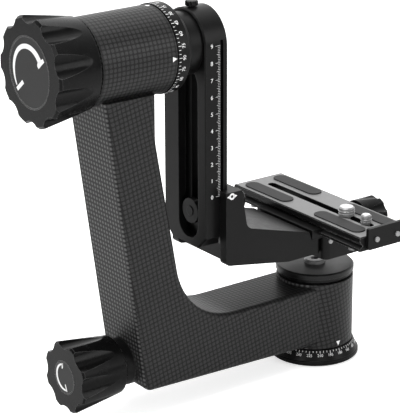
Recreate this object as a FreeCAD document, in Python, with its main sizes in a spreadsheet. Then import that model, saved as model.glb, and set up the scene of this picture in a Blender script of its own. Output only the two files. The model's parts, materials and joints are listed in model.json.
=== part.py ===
import FreeCAD, Part
import Sketcher
import math
import os

os.makedirs("parts", exist_ok=True)

doc = FreeCAD.newDocument("GimbalHead")
sheet = doc.addObject("Spreadsheet::Sheet", "Sizes")

# Every size in millimetres or degrees. The origin is the centre of the bottom mounting face,
# Z is the pan axis and X runs along the tilt axis.
SIZES = [
    ("run_gap", 0.05),
    ("face_gap", 0.4),
    ("pan_base_radius", 28.0),
    ("pan_base_rim", 3.0),
    ("pan_ring_low_radius", 27.3),
    ("pan_ring_top_radius", 24.6),
    ("pan_ring_bore", 22.0),
    ("pan_ring_top", 9.2),
    ("pan_foot_radius", 12.0),
    ("pan_shaft_radius", 8.5),
    ("thread_radius", 4.0),
    ("thread_depth", 12.0),
    ("bushing_radius", 7.0),
    ("bushing_top", 14.0),
    ("house_radius", 24.0),
    ("house_bottom", 9.8),
    ("house_top", 52.4),
    ("house_bore", 13.0),
    ("pan_bush_length", 9.0),
    ("seal_radius", 23.2),
    ("cap_bottom", 55.8),
    ("cap_radius", 24.3),
    ("cap_top", 59.4),
    ("cap_screw_head", 6.6),
    ("cap_screw_height", 2.2),
    ("cap_screw_shank", 4.0),
    ("cap_screw_length", 16.0),
    ("cap_screw_socket", 5.0),
    ("arm_half_width", 20.3),
    ("arm_low", 12.4),
    ("arm_high", 50.3),
    ("riser_foot_x", 142.0),
    ("riser_foot_z", 16.0),
    ("riser_top_x", 167.0),
    ("riser_top_drop", 19.9),
    ("riser_in_foot_x", 112.0),
    ("riser_in_top_x", 133.0),
    ("riser_knee_drop", 47.9),
    ("foot_round_arm", 5.0),
    ("knee_round", 40.0),
    ("elbow_round", 44.0),
    ("body_round", 3.2),
    ("tilt_height", 215.9),
    ("tilt_house_radius", 25.5),
    ("tilt_house_left", 171.6),
    ("tilt_house_right", 121.9),
    ("tilt_house_bore", 12.0),
    ("tilt_bush_length", 10.0),
    ("plug_length", 6.0),
    ("stud_radius", 4.0),
    ("stud_tip_x", 163.4),
    ("pad_thickness", 3.0),
    ("pad_radius", 11.6),
    ("axle_radius", 8.0),
    ("axle_left_x", 159.6),
    ("axle_right_x", 92.0),
    ("knob_radius", 31.5),
    ("knob_neck_radius", 26.8),
    ("knob_left_x", 203.0),
    ("knob_right_x", 172.0),
    ("flute_offset", 5.0),
    ("flute_front_radius", 9.0),
    ("flute_back_radius", 8.8),
    ("flute_length", 28.0),
    ("flute_count", 10.0),
    ("inlay_radius", 20.6),
    ("inlay_depth", 2.0),
    ("tilt_ring_radius", 26.0),
    ("tilt_ring_right", 114.0),
    ("hub_rim_radius", 24.0),
    ("hub_step_x", 109.5),
    ("hub_radius", 19.0),
    ("swing_left_x", 99.5),
    ("swing_right_x", 84.0),
    ("swing_half_width", 20.5),
    ("swing_bottom", 95.0),
    ("swing_chamfer", 0.8),
    ("swing_heel", 7.0),
    ("channel_low_y", 13.0),
    ("channel_high_y", 6.0),
    ("channel_depth", 5.0),
    ("channel_bottom", 99.0),
    ("channel_top", 202.0),
    ("slot_width", 6.4),
    ("slot_low_inset", 9.0),
    ("slot_top_inset", 4.6),
    ("groove_left_x", 88.8),
    ("groove_width", 2.2),
    ("groove_depth", 2.5),
    ("groove_top", 220.0),
    ("thumb_radius", 3.8),
    ("thumb_height", 3.6),
    ("thumb_x", 94.0),
    ("thumb_notch", 0.7),
    ("thumb_notch_count", 8.0),
    ("thumb_shank", 2.0),
    ("thumb_shank_length", 7.0),
    ("pan_knob_z", 30.5),
    ("pan_knob_radius", 21.5),
    ("pan_knob_neck", 17.6),
    ("pan_knob_left_x", 186.0),
    ("pan_knob_right_x", 153.0),
    ("pan_inlay_radius", 10.2),
    ("pan_flute_offset", 6.0),
    ("pan_flute_front", 9.5),
    ("pan_flute_back", 9.2),
    ("pan_flute_length", 31.0),
    ("pan_flute_count", 8.0),
    ("collar_left_x", 152.4),
    ("collar_small", 13.4),
    ("collar_big", 14.2),
    ("boss_left_x", 146.2),
    ("boss_length", 9.0),
    ("rod_bore", 4.5),
    ("rod_radius", 4.2),
    ("rod_right_x", 9.0),
    ("pan_stud_tip_x", 138.6),
    ("bracket_half_width", 27.0),
    ("bracket_left_x", 89.4),
    ("bracket_right_x", 78.0),
    ("bracket_top", 130.0),
    ("bracket_bottom", 85.2),
    ("floor_high_x", 74.0),
    ("floor_high_z", 105.5),
    ("floor_thin_x", 27.0),
    ("floor_thin_z", 86.6),
    ("floor_lip_z", 92.4),
    ("floor_under_z", 77.2),
    ("floor_step_x", 43.0),
    ("bracket_inner_round", 6.0),
    ("bracket_outer_round", 3.0),
    ("cheek_gap", 0.3),
    ("foot_left_x", 17.0),
    ("foot_right_x", 17.0),
    ("foot_half_width", 30.0),
    ("foot_bottom", 72.8),
    ("foot_round", 4.0),
    ("foot_screw_x", 13.0),
    ("foot_screw_z", 84.6),
    ("foot_screw_head", 1.5),
    ("foot_screw_shank", 1.4),
    ("foot_screw_length", 7.0),
    ("jaw_half_length", 27.0),
    ("jaw_back_x", 24.6),
    ("lip_root", 2.0),
    ("jaw_slope_drop", 0.17),
    ("jaw_tip_gap", 0.6),
    ("jaw_tip_drop", 0.26),
    ("jaw_tip_height", 0.2),
    ("jaw_bottom", 74.0),
    ("jaw_pin_radius", 2.0),
    ("jaw_pin_y", 19.0),
    ("jaw_pin_left_x", 4.0),
    ("clamp_axis_z", 80.5),
    ("clamp_screw_radius", 3.0),
    ("clamp_screw_left_x", 12.0),
    ("clamp_neck_radius", 6.5),
    ("clamp_knob_left_x", 32.5),
    ("clamp_knob_right_x", 50.5),
    ("clamp_knob_radius", 11.6),
    ("clamp_flute_offset", 4.0),
    ("clamp_flute_radius", 6.2),
    ("clamp_flute_back", 3.4),
    ("clamp_flute_length", 17.0),
    ("clamp_flute_count", 7.0),
    ("plate_bottom", 89.0),
    ("plate_top", 98.0),
    ("plate_half_width", 18.9),
    ("plate_flange_top", 90.6),
    ("plate_notch_half", 16.4),
    ("plate_notch_z", 92.6),
    ("plate_notch_top", 94.6),
    ("plate_far_y", 58.0),
    ("plate_near_y", 64.0),
    ("plate_slot_width", 5.4),
    ("plate_slot_far", 46.0),
    ("plate_slot_near", 53.0),
    ("plate_relief_width", 16.5),
    ("plate_relief_depth", 3.4),
    ("rubber_width", 9.5),
    ("rubber_length", 42.0),
    ("rubber_height", 0.8),
    ("rubber_depth", 1.2),
    ("rubber_x", 11.2),
    ("rubber_far_y", 32.0),
    ("rubber_near_y", 36.0),
    ("stop_thickness", 2.4),
    ("stop_half_width", 14.3),
    ("stop_bottom", 89.7),
    ("stop_top", 103.0),
    ("stop_screw_x", 8.0),
    ("stop_screw_z", 95.6),
    ("stop_screw_head", 1.6),
    ("stop_screw_shank", 1.4),
    ("stop_screw_length", 7.0),
    ("safety_x", 12.6),
    ("safety_far_y", 45.0),
    ("safety_near_y", 50.0),
    ("safety_radius", 2.4),
    ("safety_height", 3.6),
    ("safety_shank", 1.4),
    ("safety_depth", 5.0),
    ("big_screw_radius", 4.76),
    ("big_screw_y", 29.3),
    ("small_screw_radius", 3.17),
    ("small_screw_y", 47.3),
    ("camera_neck_radius", 2.5),
    ("cut_over", 1.0),
    ("seat_touch", 0.02),
    ("shaft_foot_height", 0.6),
    ("cap_screw_chamfer", 0.7),
    ("knob_chamfer", 1.5),
    ("pan_knob_chamfer", 1.2),
    ("flute_start", 0.1),
    ("inlay_sink", 0.2),
    ("inlay_rise", 0.1),
    ("inlay_rim", 0.9),
    ("inlay_rim_top", 0.7),
    ("hub_step", 2.5),
    ("hub_chamfer", 0.6),
    ("thumb_play", 0.06),
    ("camera_tip_chamfer", 0.8),
    ("camera_screw_rise", 6.0),
    ("big_screw_head", 7.6),
    ("small_screw_head", 6.4),
    ("camera_head_height", 2.4),
    ("camera_washer", 0.8),
    ("lock_y", 3.5),
    ("lock_z", 115.0),
    ("lock_seat_x", 74.4),
    ("lock_bolt_radius", 3.0),
    ("lock_neck_radius", 4.5),
    ("lock_neck_length", 1.6),
    ("lock_knob_radius", 6.4),
    ("lock_knob_length", 14.0),
    ("lock_nut_radius", 7.6),
    ("lock_nut_thickness", 3.4),
]
for row, (name, number) in enumerate(SIZES, start=1):
    sheet.set("A%d" % row, name)
    sheet.set("B%d" % row, str(number))
    sheet.setAlias("B%d" % row, name)
doc.recompute()


def size(name):
    """Return one size from the sheet."""
    return float(sheet.get(name))


def link(text):
    """Turn {name} into a reference to the sheet."""
    return text.replace("{", "Sizes.").replace("}", "")


def plane(body, role):
    """Return one of the origin planes of a body."""
    return next(item for item in body.Origin.OriginFeatures if item.Role == role)


def new_body(label, place):
    """Start a body whose placement follows the sheet."""
    body = doc.addObject("PartDesign::Body", label)
    body.Label = label
    for axis, text in zip("xyz", place):
        body.setExpression("Placement.Base." + axis, link(text))
    return body


def new_sketch(body, role, name, offset="0"):
    """Start a sketch on an origin plane, moved along the plane's normal."""
    sketch = body.newObject("Sketcher::SketchObject", name)
    sketch.AttachmentSupport = (plane(body, role), [""])
    sketch.MapMode = "FlatFace"
    sketch.setExpression("AttachmentOffset.Base.z", link(offset))
    return sketch


def closed_outline(sketch, points):
    """Draw a closed outline whose corners are bound to the sheet one by one."""
    count = len(points)
    seeds = []
    for index in range(count):
        turn = 2.0 * math.pi * index / count
        seeds.append(FreeCAD.Vector(40.0 * math.cos(turn), 40.0 * math.sin(turn), 0.0))
    for index in range(count):
        sketch.addGeometry(Part.LineSegment(seeds[index], seeds[(index + 1) % count]), False)
    for index in range(count):
        following = (index + 1) % count
        sketch.addConstraint(Sketcher.Constraint("Coincident", index, 2, following, 1))
    for index, (across, along) in enumerate(points):
        for kind, text, axis in (("DistanceX", across, -2), ("DistanceY", along, -1)):
            if text == "0":
                sketch.addConstraint(Sketcher.Constraint("PointOnObject", index, 1, axis))
            else:
                number = sketch.addConstraint(
                    Sketcher.Constraint(kind, -1, 1, index, 1, 1.0))
                sketch.setExpression("Constraints[%d]" % number, link(text))


def round_outline(sketch, across, along, radius):
    """Draw a circle whose centre and radius are bound to the sheet."""
    circle = sketch.addGeometry(
        Part.Circle(FreeCAD.Vector(1.0, 1.0, 0.0), FreeCAD.Vector(0, 0, 1), 5.0), False)
    for kind, text, axis in (("DistanceX", across, -2), ("DistanceY", along, -1)):
        if text == "0":
            sketch.addConstraint(Sketcher.Constraint("PointOnObject", circle, 3, axis))
        else:
            number = sketch.addConstraint(Sketcher.Constraint(kind, -1, 1, circle, 3, 1.0))
            sketch.setExpression("Constraints[%d]" % number, link(text))
    number = sketch.addConstraint(Sketcher.Constraint("Radius", circle, 5.0))
    sketch.setExpression("Constraints[%d]" % number, link(radius))


def revolve_into(body, points, axis, name="Turned"):
    """Revolve an outline in the XZ plane about X or Z."""
    sketch = new_sketch(body, "XZ_Plane", name + "Outline")
    closed_outline(sketch, points)
    feature = body.newObject("PartDesign::Revolution", name)
    feature.Profile = sketch
    feature.ReferenceAxis = (sketch, ["H_Axis" if axis == "X" else "V_Axis"])
    feature.Angle = 360.0
    return feature


def turned(label, axis, points, place=("0", "0", "0")):
    """Make one turned piece."""
    body = new_body(label, place)
    revolve_into(body, points, axis)
    return body


def pad_into(body, role, points, length, name="Padded", midplane=True, offset="0", back=False):
    """Pad an outline off an origin plane."""
    sketch = new_sketch(body, role, name + "Outline", offset)
    closed_outline(sketch, points)
    feature = body.newObject("PartDesign::Pad", name)
    feature.Profile = sketch
    feature.Midplane = midplane
    feature.Reversed = back
    feature.setExpression("Length", link(length))
    return feature


def rim_edges(shape, keep):
    """Return the names of the edges that a test keeps."""
    names = []
    for number, edge in enumerate(shape.Edges, start=1):
        if keep(edge):
            names.append("Edge%d" % number)
    return names


def fillet_into(body, base, keep, radius, name):
    """Round the edges that a test keeps."""
    doc.recompute()
    feature = body.newObject("PartDesign::Fillet", name)
    feature.Base = (base, rim_edges(base.Shape, keep))
    feature.setExpression("Radius", link(radius))
    doc.recompute()
    return feature


def chamfer_into(body, base, keep, width, name):
    """Chamfer the edges that a test keeps."""
    doc.recompute()
    feature = body.newObject("PartDesign::Chamfer", name)
    feature.Base = (base, rim_edges(base.Shape, keep))
    feature.setExpression("Size", link(width))
    doc.recompute()
    return feature


def near(first, second, margin=0.01):
    """Tell whether two numbers agree."""
    return abs(first - second) < margin


def flutes_into(body, cone_sizes, count_text, start_x, name):
    """Cut fading flutes around a knob that turns about X."""
    offset, front_radius, back_radius, length = cone_sizes
    cone = body.newObject("PartDesign::SubtractiveCone", name)
    cone.AttachmentSupport = (plane(body, "YZ_Plane"), [""])
    cone.MapMode = "FlatFace"
    cone.setExpression("AttachmentOffset.Base.y", link(offset))
    cone.setExpression("AttachmentOffset.Base.z", link(start_x))
    cone.setExpression("Radius1", link(front_radius))
    cone.setExpression("Radius2", link(back_radius))
    cone.setExpression("Height", link(length))
    doc.recompute()
    pattern = body.newObject("PartDesign::PolarPattern", name + "s")
    pattern.Originals = [cone]
    pattern.Axis = (next(i for i in body.Origin.OriginFeatures if i.Role == "X_Axis"), [""])
    pattern.Angle = 360.0
    pattern.setExpression("Occurrences", link(count_text))
    body.Tip = pattern
    return pattern


doc.recompute()

AXIS = ("0", "0", "{tilt_height}")
PAN = ("0", "0", "{pan_knob_z}")

# Base: rim plate, threaded bushing, index ring, spindle, seal, cap and its screw.
base_plate = turned("base_plate", "Z", [
    ("{pan_foot_radius}", "0"),
    ("{pan_base_radius}", "0"),
    ("{pan_base_radius}", "{pan_base_rim}"),
    ("{pan_ring_bore}", "{pan_base_rim}"),
    ("{pan_ring_bore}", "{pan_ring_top}"),
    ("{pan_foot_radius}", "{pan_ring_top}"),
])
chamfer_into(base_plate, base_plate.Tip, lambda e: near(e.BoundBox.XMax, size("pan_base_radius")),
             "0.6", "RimEdge")

thread_bushing = turned("thread_bushing", "Z", [
    ("{thread_radius}", "0"),
    ("{bushing_radius}", "0"),
    ("{bushing_radius}", "{bushing_top}"),
    ("0", "{bushing_top}"),
    ("0", "{thread_depth}"),
    ("{thread_radius}", "{thread_depth}"),
])

pan_index_ring = turned("pan_index_ring", "Z", [
    ("{pan_ring_bore}", "{pan_base_rim}"),
    ("{pan_ring_low_radius}", "{pan_base_rim}"),
    ("{pan_ring_top_radius}", "{pan_ring_top}"),
    ("{pan_ring_bore}", "{pan_ring_top}"),
])

pan_spindle = turned("pan_spindle", "Z", [
    ("{bushing_radius}", "0"),
    ("{pan_foot_radius}", "0"),
    ("{pan_foot_radius}", "{pan_ring_top}"),
    ("{pan_shaft_radius}", "{pan_ring_top} + {shaft_foot_height}"),
    ("{pan_shaft_radius}", "{cap_bottom}"),
    ("{cap_screw_shank}", "{cap_bottom}"),
    ("{cap_screw_shank}", "{cap_top} - {cap_screw_length} - {cut_over}"),
    ("0", "{cap_top} - {cap_screw_length} - {cut_over}"),
    ("0", "{bushing_top}"),
    ("{bushing_radius}", "{bushing_top}"),
])

cap_seal = turned("cap_seal", "Z", [
    ("{pan_shaft_radius}", "{house_top} + {face_gap}"),
    ("{seal_radius} - 1", "{house_top} + {face_gap}"),
    ("{seal_radius}", "{house_top} + {face_gap} + 1"),
    ("{seal_radius}", "{cap_bottom}"),
    ("{pan_shaft_radius}", "{cap_bottom}"),
])

pan_cap = turned("pan_cap", "Z", [
    ("{cap_screw_shank}", "{cap_bottom}"),
    ("{cap_radius}", "{cap_bottom}"),
    ("{cap_radius}", "{cap_top}"),
    ("{cap_screw_shank}", "{cap_top}"),
])
chamfer_into(pan_cap, pan_cap.Tip, lambda e: near(e.BoundBox.ZMin, size("cap_top"))
            and e.BoundBox.XMax > size("cap_radius") - 0.1, "0.9", "CapEdge")

cap_screw = turned("cap_screw", "Z", [
    ("0", "{cap_top} - {cap_screw_length}"),
    ("{cap_screw_shank}", "{cap_top} - {cap_screw_length}"),
    ("{cap_screw_shank}", "{cap_top}"),
    ("{cap_screw_head}", "{cap_top}"),
    ("{cap_screw_head}", "{cap_top} + {cap_screw_height} - {cap_screw_chamfer}"),
    ("{cap_screw_head} - {cap_screw_chamfer}", "{cap_top} + {cap_screw_height}"),
    ("0", "{cap_top} + {cap_screw_height}"),
])


def hex_socket(body, role, across_flats, depth, offset, name, back=False, centre=("0", "0")):
    """Cut a hexagonal socket whose flats are bound to the sheet."""
    points = []
    for index in range(6):
        turn = math.radians(60.0 * index)
        points.append((
            "%s + %s * %.6f" % (centre[0], across_flats, math.cos(turn) / math.sqrt(3.0)),
            "%s + %s * %.6f" % (centre[1], across_flats, math.sin(turn) / math.sqrt(3.0))))
    sketch = new_sketch(body, role, name + "Outline", offset)
    closed_outline(sketch, points)
    pocket = body.newObject("PartDesign::Pocket", name)
    pocket.Profile = sketch
    pocket.Reversed = back
    pocket.setExpression("Length", link(depth))
    return pocket


hex_socket(cap_screw, "XY_Plane", "{cap_screw_socket}", "1.8", "{cap_top} + {cap_screw_height}",
           "Socket")

# Carbon body: one L with the pan housing at its foot and the tilt housing at its head.
l_body = new_body("l_body", ("0", "0", "0"))
ell = pad_into(l_body, "XZ_Plane", [
    ("-{riser_foot_x}", "{riser_foot_z}"),
    ("0", "{arm_low}"),
    ("0", "{arm_high}"),
    ("-{riser_in_foot_x}", "{arm_high}"),
    ("-{riser_in_top_x}", "{tilt_height} - {riser_knee_drop}"),
    ("-{riser_in_top_x}", "{tilt_height} - {riser_top_drop}"),
    ("-{riser_top_x}", "{tilt_height} - {riser_top_drop}"),
], "2 * {arm_half_width}", "Ell")
ell_round = fillet_into(
    l_body, ell,
    lambda e: near(e.BoundBox.YLength, 2 * size("arm_half_width"), 0.1)
    and near(e.BoundBox.XMax, -size("riser_in_foot_x")),
    "{elbow_round}", "Elbow")
ell_knee = fillet_into(
    l_body, ell_round,
    lambda e: near(e.BoundBox.YLength, 2 * size("arm_half_width"), 0.1)
    and near(e.BoundBox.XMin, -size("riser_in_top_x"))
    and near(e.BoundBox.ZMin, size("tilt_height") - size("riser_knee_drop")),
    "{knee_round}", "Knee")
ell_foot = fillet_into(
    l_body, ell_knee,
    lambda e: near(e.BoundBox.YLength, 2 * size("arm_half_width"), 0.1)
    and near(e.BoundBox.XMin, -size("riser_foot_x"))
    and near(e.BoundBox.ZMin, size("riser_foot_z")),
    "{foot_round_arm}", "Foot")
ell_edges = fillet_into(
    l_body, ell_foot,
    lambda e: near(abs(e.BoundBox.YMin), size("arm_half_width"))
    and near(e.BoundBox.YMin, e.BoundBox.YMax)
    and e.BoundBox.XMin < -1.0
    and not near(e.BoundBox.ZMin, size("tilt_height") - size("riser_top_drop")),
    "{body_round}", "LongEdges")
pan_sketch = new_sketch(l_body, "XY_Plane", "PanHouseOutline", "{house_bottom}")
round_outline(pan_sketch, "0", "0", "{house_radius}")
pan_house = l_body.newObject("PartDesign::Pad", "PanHouse")
pan_house.Profile = pan_sketch
pan_house.setExpression("Length", link("{house_top} - {house_bottom}"))
tilt_sketch = new_sketch(l_body, "YZ_Plane", "TiltHouseOutline", "-{tilt_house_left}")
round_outline(tilt_sketch, "0", "{tilt_height}", "{tilt_house_radius}")
tilt_house = l_body.newObject("PartDesign::Pad", "TiltHouse")
tilt_house.Profile = tilt_sketch
tilt_house.setExpression("Length", link("{tilt_house_left} - {tilt_house_right}"))
boss_sketch = new_sketch(l_body, "YZ_Plane", "PanBossOutline", "-{boss_left_x}")
round_outline(boss_sketch, "0", "{pan_knob_z}", "{collar_big}")
pan_boss = l_body.newObject("PartDesign::Pad", "PanBoss")
pan_boss.Profile = boss_sketch
pan_boss.setExpression("Length", link("{boss_length}"))


def round_pocket(body, role, centre, radius, depth, offset, name, back=False):
    """Cut a round hole from an offset origin plane."""
    sketch = new_sketch(body, role, name + "Outline", offset)
    round_outline(sketch, centre[0], centre[1], radius)
    pocket = body.newObject("PartDesign::Pocket", name)
    pocket.Profile = sketch
    pocket.Reversed = back
    pocket.setExpression("Length", link(depth))
    return pocket


round_pocket(l_body, "XY_Plane", ("0", "0"), "{house_bore}",
             "{house_top} - {house_bottom} + 2 * {cut_over}", "{house_top} + {cut_over}", "PanBore")
round_pocket(l_body, "YZ_Plane", ("0", "{tilt_height}"), "{tilt_house_bore}",
             "{tilt_house_left} - {tilt_house_right} + 2 * {cut_over}", "{cut_over} - {tilt_house_right}", "TiltBore")
round_pocket(l_body, "YZ_Plane", ("0", "{pan_knob_z}"), "{rod_bore}",
             "{riser_foot_x} + 10", "{cut_over} - {house_bore}", "RodBore")
doc.recompute()

collar_outline = [
    ("-{collar_left_x}", "{rod_bore}"),
    ("-{collar_left_x}", "{collar_small}"),
    ("-{boss_left_x}", "{collar_big}"),
    ("-{boss_left_x}", "{rod_bore}"),
]
pan_collar = turned("pan_collar", "X", collar_outline, PAN)
for label, low in (("pan_bush_lower", "{house_bottom}"),
                   ("pan_bush_upper", "{house_top} - {pan_bush_length}")):
    turned(label, "Z", [
        ("{pan_shaft_radius} + {run_gap}", low),
        ("{house_bore}", low),
        ("{house_bore}", low + " + {pan_bush_length}"),
        ("{pan_shaft_radius} + {run_gap}", low + " + {pan_bush_length}"),
    ])

for label, left in (("tilt_bush_left", "-{axle_left_x} + 1"),
                    ("tilt_bush_right", "-{tilt_house_right} - {tilt_bush_length}")):
    turned(label, "X", [
        (left, "{axle_radius} + {run_gap}"),
        (left, "{tilt_house_bore}"),
        (left + " + {tilt_bush_length}", "{tilt_house_bore}"),
        (left + " + {tilt_bush_length}", "{axle_radius} + {run_gap}"),
    ], AXIS)

tilt_plug = turned("tilt_plug", "X", [
    ("-{tilt_house_left}", "{stud_radius} + {run_gap}"),
    ("-{tilt_house_left}", "{tilt_house_bore}"),
    ("-{tilt_house_left} + {plug_length}", "{tilt_house_bore}"),
    ("-{tilt_house_left} + {plug_length}", "{stud_radius} + {run_gap}"),
], AXIS)

# Brake pieces that the two knobs press.
tilt_brake_pad = turned("tilt_brake_pad", "X", [
    ("-{stud_tip_x} + {seat_touch}", "0"),
    ("-{stud_tip_x} + {seat_touch}", "{pad_radius}"),
    ("-{stud_tip_x} + {seat_touch} + {pad_thickness}", "{pad_radius}"),
    ("-{stud_tip_x} + {seat_touch} + {pad_thickness}", "0"),
], AXIS)

pan_brake_rod = turned("pan_brake_rod", "X", [
    ("-{pan_stud_tip_x} + {seat_touch}", "0"),
    ("-{pan_stud_tip_x} + {seat_touch}", "{rod_radius}"),
    ("-{rod_right_x}", "{rod_radius}"),
    ("-{rod_right_x}", "0"),
], PAN)

# Tilt knob with its inlay, arrow and stud.
tilt_knob = new_body("tilt_knob", AXIS)
knob_core = revolve_into(tilt_knob, [
    ("-{knob_left_x}", "{stud_radius}"),
    ("-{knob_left_x}", "{knob_radius} - {knob_chamfer}"),
    ("-{knob_left_x} + {knob_chamfer}", "{knob_radius}"),
    ("-{knob_right_x} - {knob_chamfer}", "{knob_neck_radius}"),
    ("-{knob_right_x}", "{knob_neck_radius} - {knob_chamfer}"),
    ("-{knob_right_x}", "{stud_radius}"),
], "X", "Core")
round_pocket(tilt_knob, "YZ_Plane", ("0", "0"), "{inlay_radius}",
             "{inlay_depth}", "-{knob_left_x}", "InlaySeat", True)
flutes_into(tilt_knob, ("{knob_radius} + {flute_offset}", "{flute_front_radius}",
                        "{flute_back_radius}", "{flute_length}"),
            "{flute_count}", "-{knob_left_x} - {flute_start}", "Flute")

pan_knob = new_body("pan_knob", PAN)
revolve_into(pan_knob, [
    ("-{pan_knob_left_x}", "{stud_radius}"),
    ("-{pan_knob_left_x}", "{pan_knob_radius} - {pan_knob_chamfer}"),
    ("-{pan_knob_left_x} + {pan_knob_chamfer}", "{pan_knob_radius}"),
    ("-{pan_knob_right_x} - {pan_knob_chamfer}", "{pan_knob_neck}"),
    ("-{pan_knob_right_x}", "{pan_knob_neck} - {pan_knob_chamfer}"),
    ("-{pan_knob_right_x}", "{stud_radius}"),
], "X", "Core")
round_pocket(pan_knob, "YZ_Plane", ("0", "0"), "{pan_inlay_radius}",
             "{inlay_depth}", "-{pan_knob_left_x}", "InlaySeat", True)
flutes_into(pan_knob, ("{pan_knob_radius} + {pan_flute_offset}", "{pan_flute_front}",
                       "{pan_flute_back}", "{pan_flute_length}"),
            "{pan_flute_count}", "-{pan_knob_left_x} - {flute_start}", "Flute")

for label, left, radius, place in (
        ("tilt_knob_inlay", "-{knob_left_x}", "{inlay_radius}", AXIS),
        ("pan_knob_inlay", "-{pan_knob_left_x}", "{pan_inlay_radius}", PAN)):
    turned(label, "X", [
        (left + " + {inlay_sink}", "0"),
        (left + " + {inlay_sink}", radius + " - {inlay_rim}"),
        (left + " - {inlay_rise}", radius + " - {inlay_rim_top}"),
        (left + " - {inlay_rise}", radius),
        (left + " + {inlay_depth}", radius),
        (left + " + {inlay_depth}", "0"),
    ], place)

tilt_stud = turned("tilt_stud", "X", [
    ("-{knob_left_x} + {inlay_depth}", "0"),
    ("-{knob_left_x} + {inlay_depth}", "{stud_radius}"),
    ("-{stud_tip_x}", "{stud_radius}"),
    ("-{stud_tip_x}", "0"),
], AXIS)
pan_stud = turned("pan_stud", "X", [
    ("-{pan_knob_left_x} + {inlay_depth}", "0"),
    ("-{pan_knob_left_x} + {inlay_depth}", "{stud_radius}"),
    ("-{pan_stud_tip_x}", "{stud_radius}"),
    ("-{pan_stud_tip_x}", "0"),
], PAN)

# Tilt side: index ring, stepped hub, axle and swing arm.
tilt_index_ring = turned("tilt_index_ring", "X", [
    ("-{tilt_house_right} + {face_gap}", "{axle_radius}"),
    ("-{tilt_house_right} + {face_gap}", "{tilt_ring_radius}"),
    ("-{tilt_ring_right}", "{tilt_ring_radius}"),
    ("-{tilt_ring_right}", "{axle_radius}"),
], AXIS)
tilt_hub = turned("tilt_hub", "X", [
    ("-{tilt_ring_right}", "{axle_radius}"),
    ("-{tilt_ring_right}", "{hub_rim_radius}"),
    ("-{hub_step_x}", "{hub_rim_radius} - {hub_step}"),
    ("-{hub_step_x}", "{hub_radius}"),
    ("-{swing_left_x}", "{hub_radius} - {hub_chamfer}"),
    ("-{swing_left_x}", "{axle_radius}"),
], AXIS)
tilt_axle = turned("tilt_axle", "X", [
    ("-{axle_left_x}", "0"),
    ("-{axle_left_x}", "{axle_radius}"),
    ("-{axle_right_x}", "{axle_radius}"),
    ("-{axle_right_x}", "0"),
], AXIS)

swing_arm = new_body("swing_arm", ("0", "0", "0"))
pad_into(swing_arm, "YZ_Plane", [
    ("-{swing_half_width}", "{swing_bottom}"),
    ("{swing_half_width}", "{swing_bottom}"),
    ("{swing_half_width}", "{tilt_height}"),
    ("-{swing_half_width}", "{tilt_height}"),
], "{swing_left_x} - {swing_right_x}", "Straight", False, "-{swing_left_x}")
head_sketch = new_sketch(swing_arm, "YZ_Plane", "HeadOutline", "-{swing_left_x}")
round_outline(head_sketch, "0", "{tilt_height}", "{swing_half_width}")
head = swing_arm.newObject("PartDesign::Pad", "Head")
head.Profile = head_sketch
head.setExpression("Length", link("{swing_left_x} - {swing_right_x}"))
heel = chamfer_into(
    swing_arm, head,
    lambda e: near(e.BoundBox.XLength, size("swing_left_x") - size("swing_right_x"))
    and near(e.BoundBox.ZMax, size("swing_bottom")),
    "{swing_heel}", "Heel")
rails = chamfer_into(
    swing_arm, heel,
    lambda e: near(e.BoundBox.XMin, -size("swing_left_x"))
    and near(e.BoundBox.XMax, -size("swing_left_x"))
    and e.BoundBox.ZLength > 5.0 and e.BoundBox.ZMin > size("swing_bottom") - 1,
    "{swing_chamfer}", "RailEdges")
groove_sketch_points = [
    ("-{groove_left_x}", "{swing_half_width} - {groove_depth}"),
    ("-{groove_left_x} + {groove_width}", "{swing_half_width} - {groove_depth}"),
    ("-{groove_left_x} + {groove_width}", "{swing_half_width} + {cut_over}"),
    ("-{groove_left_x}", "{swing_half_width} + {cut_over}"),
]
for name, sign in (("GrooveFar", ""), ("GrooveNear", "-")):
    sketch = new_sketch(swing_arm, "XY_Plane", name + "Outline", "{swing_bottom} - {cut_over}")
    closed_outline(sketch, [
        (across, along if sign == "" else "-(" + along + ")")
        for across, along in groove_sketch_points])
    groove = swing_arm.newObject("PartDesign::Pocket", name)
    groove.Profile = sketch
    groove.Reversed = True
    groove.setExpression("Length", link("{groove_top} - {swing_bottom} + {cut_over}"))
channel = new_sketch(swing_arm, "YZ_Plane", "ChannelOutline", "-{swing_left_x} + {channel_depth}")
closed_outline(channel, [
    ("-{channel_low_y}", "{channel_bottom}"),
    ("{channel_high_y}", "{channel_bottom}"),
    ("{channel_high_y}", "{channel_top}"),
    ("-{channel_low_y}", "{channel_top}"),
])
channel_cut = swing_arm.newObject("PartDesign::Pocket", "Channel")
channel_cut.Profile = channel
channel_cut.setExpression("Length", link("{channel_depth} + 3"))
channel_ends = fillet_into(
    swing_arm, channel_cut,
    lambda e: near(e.BoundBox.XLength, size("channel_depth"), 0.5)
    and e.BoundBox.ZLength < 0.01 and e.BoundBox.YLength < 0.01
    and (near(e.BoundBox.ZMax, size("channel_top")) or near(e.BoundBox.ZMax, size("channel_bottom"))),
    "({channel_low_y} + {channel_high_y}) / 2 - 0.2", "ChannelEnds")
slot = new_sketch(swing_arm, "YZ_Plane", "SlotOutline", "-{swing_right_x} + {cut_over}")
closed_outline(slot, [
    ("-{lock_y} - {slot_width} / 2", "{channel_bottom} + {slot_low_inset}"),
    ("-{lock_y} + {slot_width} / 2", "{channel_bottom} + {slot_low_inset}"),
    ("-{lock_y} + {slot_width} / 2", "{channel_top} - {slot_top_inset}"),
    ("-{lock_y} - {slot_width} / 2", "{channel_top} - {slot_top_inset}"),
])
slot_cut = swing_arm.newObject("PartDesign::Pocket", "Slot")
slot_cut.Profile = slot
slot_cut.setExpression("Length", link("{swing_left_x} - {swing_right_x} + 2 * {cut_over}"))
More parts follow.
